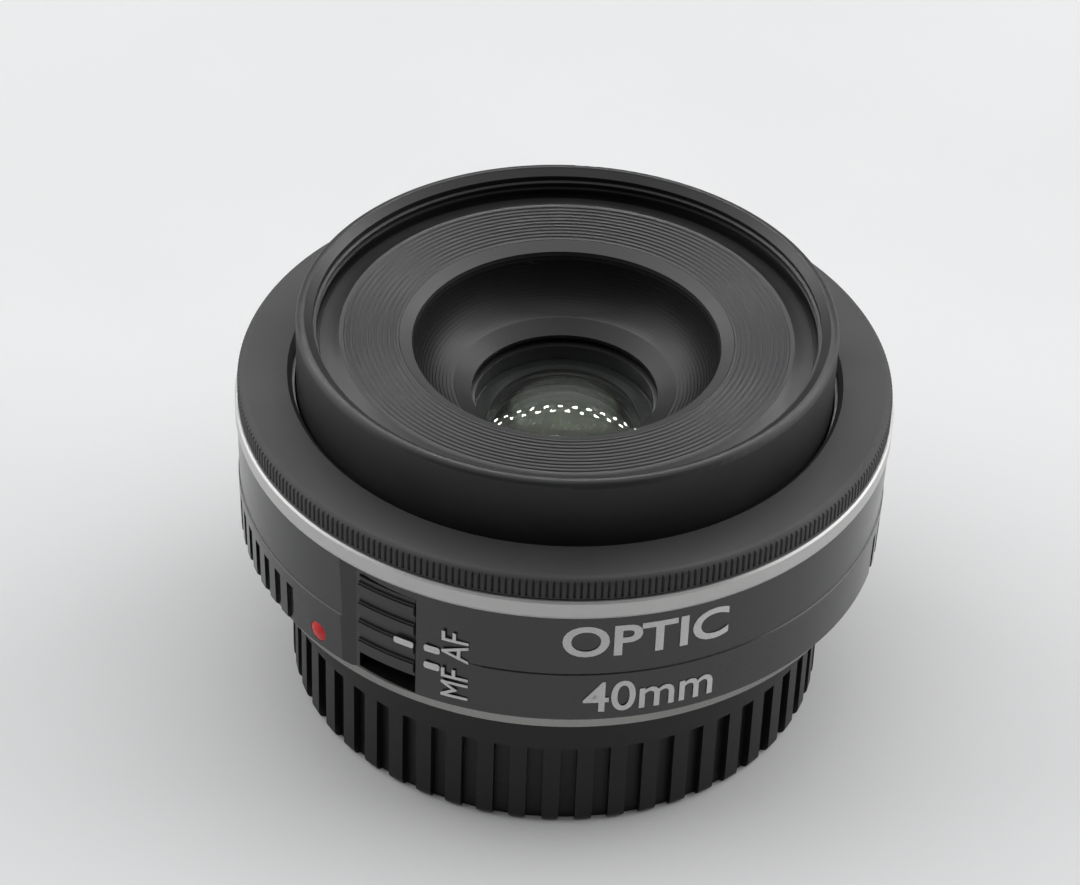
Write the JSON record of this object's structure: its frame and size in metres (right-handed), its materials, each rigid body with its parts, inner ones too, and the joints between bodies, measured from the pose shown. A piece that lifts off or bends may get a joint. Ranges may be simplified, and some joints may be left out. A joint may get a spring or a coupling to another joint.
{
  "type": "prime camera lens",
  "caption": "Flat autofocus prime lens on its ribbed rear cap: the optical unit extends, with focus ring, AF/MF switch, iris and bayonet mount.",
  "frame": {"origin": "centre of the rear cap's foot, on the surface the lens stands on", "axes": "+Z along the optical axis to the front; -Y towards the printed side, with the switch to its left; +X to the right of it"},
  "size_m": [0.0682, 0.0682, 0.0444],
  "materials": {
    "cap_plastic": "satin moulded",
    "barrel_plastic": "satin black paint on plastic",
    "ring_plastic": "fine matte black",
    "front_plastic": "satin black",
    "baffle_black": "dead matte black",
    "silver_paint": "satin silver",
    "mount_metal": "chromed brass, satin",
    "screw_steel": "plain steel",
    "contact_gold": "gold plated",
    "inner_plastic": "black glass-filled plastic",
    "slide_plastic": "natural acetal",
    "gear_plastic": "natural acetal",
    "board_green": "solder mask",
    "chip_black": "moulded epoxy",
    "flex_amber": "polyimide film",
    "lens_glass": "coated optical glass",
    "blade_black": "blackened spring steel",
    "motor_can": "plated can",
    "index_red": "red bead",
    "knob_plastic": "satin black"
  },
  "bodies": {
    "barrel": {"main_barrel": "barrel_plastic", "index_dot": "index_red", "silver_ring": "silver_paint", "focus_ring_keeper": "inner_plastic", "bayonet_mount": "mount_metal", "mount_screws": "screw_steel", "contact_block": "inner_plastic", "contact_pins": "contact_gold", "contact_screws": "screw_steel", "rear_baffle": "baffle_black", "guide_barrel": "inner_plastic", "guide_screws": "screw_steel", "base_plate": "inner_plastic", "idler_shaft": "screw_steel", "focus_motor": "motor_can", "gear_bridge": "inner_plastic", "small_screws": "screw_steel", "main_board": "board_green", "board_chips": "chip_black", "board_spacers": "slide_plastic", "contact_flex": "flex_amber", "focus_sensors": "chip_black", "switch_board": "board_green"},
    "rear_cap": {"rear_cap": "cap_plastic"},
    "focus_ring": {"focus_ring": "ring_plastic", "encoder_comb": "blade_black"},
    "cam_ring": {"cam_ring": "slide_plastic", "cam_gear": "gear_plastic"},
    "idler_gear": {"idler_gear": "gear_plastic"},
    "motor_pinion": {"motor_pinion": "gear_plastic"},
    "af_switch": {"switch_knob": "knob_plastic", "switch_brush": "contact_gold"},
    "optical_unit": {"filter_ring": "front_plastic", "front_trim_ring": "front_plastic", "front_baffle": "baffle_black", "inner_barrel": "inner_plastic", "cam_followers": "slide_plastic", "follower_screws": "screw_steel", "front_cell": "inner_plastic", "front_retainer": "inner_plastic", "rear_cell": "inner_plastic", "rear_retainer": "inner_plastic", "lens_1": "lens_glass", "lens_2": "lens_glass", "lens_3": "lens_glass", "lens_4": "lens_glass", "lens_5": "lens_glass", "lens_6": "lens_glass", "iris_base": "inner_plastic", "iris_cover": "inner_plastic", "iris_motor": "motor_can"},
    "iris_drive_ring": {"iris_drive_ring": "blade_black"},
    "iris_pinion": {"iris_pinion": "gear_plastic"},
    "iris_blade_1": {"iris_blade_1": "blade_black"},
    "iris_blade_2": {"iris_blade_2": "blade_black"},
    "iris_blade_3": {"iris_blade_3": "blade_black"},
    "iris_blade_4": {"iris_blade_4": "blade_black"},
    "iris_blade_5": {"iris_blade_5": "blade_black"},
    "iris_blade_6": {"iris_blade_6": "blade_black"},
    "iris_blade_7": {"iris_blade_7": "blade_black"}
  },
  "joints": [
    {"name": "focus_slide", "type": "slide", "parent": "barrel", "child": "optical_unit", "axis": [0, 0, 1], "range_m": [-0.0046, 0.0026]},
    {"name": "focus_ring_turn", "type": "hinge", "parent": "barrel", "child": "focus_ring", "pos_m": [0, 0, 0.036], "axis": [0, 0, 1], "continuous": true},
    {"name": "cam_ring_turn", "type": "hinge", "parent": "barrel", "child": "cam_ring", "pos_m": [0, 0, 0.028], "axis": [0, 0, 1], "range_deg": [-32.55, 57.55]},
    {"name": "idler_gear_turn", "type": "hinge", "parent": "barrel", "child": "idler_gear", "pos_m": [0.01833, -0.01059, 0.0214], "axis": [0, 0, 1], "range_deg": [-147.54, 260.87]},
    {"name": "motor_pinion_turn", "type": "hinge", "parent": "barrel", "child": "motor_pinion", "pos_m": [0.01938, -0.00217, 0.0214], "axis": [0, 0, 1], "range_deg": [-652.18, 368.84]},
    {"name": "af_switch_slide", "type": "slide", "parent": "barrel", "child": "af_switch", "axis": [0, 0, 1], "range_m": [-0.002, 0]},
    {"name": "rear_cap_twist", "type": "hinge", "parent": "barrel", "child": "rear_cap", "pos_m": [0, 0, 0.016], "axis": [0, 0, 1], "range_deg": [-60, 0]},
    {"name": "iris_ring_turn", "type": "hinge", "parent": "optical_unit", "child": "iris_drive_ring", "pos_m": [0, 0, 0.0253], "axis": [0, 0, 1], "range_deg": [0, 15]},
    {"name": "iris_pinion_turn", "type": "hinge", "parent": "optical_unit", "child": "iris_pinion", "pos_m": [0, -0.01428, 0.0253], "axis": [0, 0, 1], "range_deg": [-163.22, 0.1]},
    {"name": "iris_blade_1_turn", "type": "hinge", "parent": "optical_unit", "child": "iris_blade_1", "pos_m": [0.0122, 0, 0.0245], "axis": [0, 0, 1], "range_deg": [-0.05, 25.55]},
    {"name": "iris_blade_2_turn", "type": "hinge", "parent": "optical_unit", "child": "iris_blade_2", "pos_m": [0.00761, 0.00954, 0.0245], "axis": [0, 0, 1], "range_deg": [-0.05, 25.55]},
    {"name": "iris_blade_3_turn", "type": "hinge", "parent": "optical_unit", "child": "iris_blade_3", "pos_m": [-0.00271, 0.01189, 0.0245], "axis": [0, 0, 1], "range_deg": [-0.05, 25.55]},
    {"name": "iris_blade_4_turn", "type": "hinge", "parent": "optical_unit", "child": "iris_blade_4", "pos_m": [-0.01099, 0.00529, 0.0245], "axis": [0, 0, 1], "range_deg": [-0.05, 25.55]},
    {"name": "iris_blade_5_turn", "type": "hinge", "parent": "optical_unit", "child": "iris_blade_5", "pos_m": [-0.01099, -0.00529, 0.0245], "axis": [0, 0, 1], "range_deg": [-0.05, 25.55]},
    {"name": "iris_blade_6_turn", "type": "hinge", "parent": "optical_unit", "child": "iris_blade_6", "pos_m": [-0.00271, -0.01189, 0.0245], "axis": [0, 0, 1], "range_deg": [-0.05, 25.55]},
    {"name": "iris_blade_7_turn", "type": "hinge", "parent": "optical_unit", "child": "iris_blade_7", "pos_m": [0.00761, -0.00954, 0.0245], "axis": [0, 0, 1], "range_deg": [-0.05, 25.55]}
  ],
  "couplings": [
    {"joint": "cam_ring_turn", "follows": "focus_slide", "rad_per_m": -218.17},
    {"joint": "idler_gear_turn", "follows": "focus_slide", "rad_per_m": -989.02},
    {"joint": "motor_pinion_turn", "follows": "focus_slide", "rad_per_m": 2472.5},
    {"joint": "iris_pinion_turn", "follows": "iris_ring_turn", "ratio": -10.875},
    {"joint": "iris_blade_1_turn", "follows": "iris_ring_turn", "ratio": 1.7},
    {"joint": "iris_blade_2_turn", "follows": "iris_ring_turn", "ratio": 1.7},
    {"joint": "iris_blade_3_turn", "follows": "iris_ring_turn", "ratio": 1.7},
    {"joint": "iris_blade_4_turn", "follows": "iris_ring_turn", "ratio": 1.7},
    {"joint": "iris_blade_5_turn", "follows": "iris_ring_turn", "ratio": 1.7},
    {"joint": "iris_blade_6_turn", "follows": "iris_ring_turn", "ratio": 1.7},
    {"joint": "iris_blade_7_turn", "follows": "iris_ring_turn", "ratio": 1.7}
  ]
}
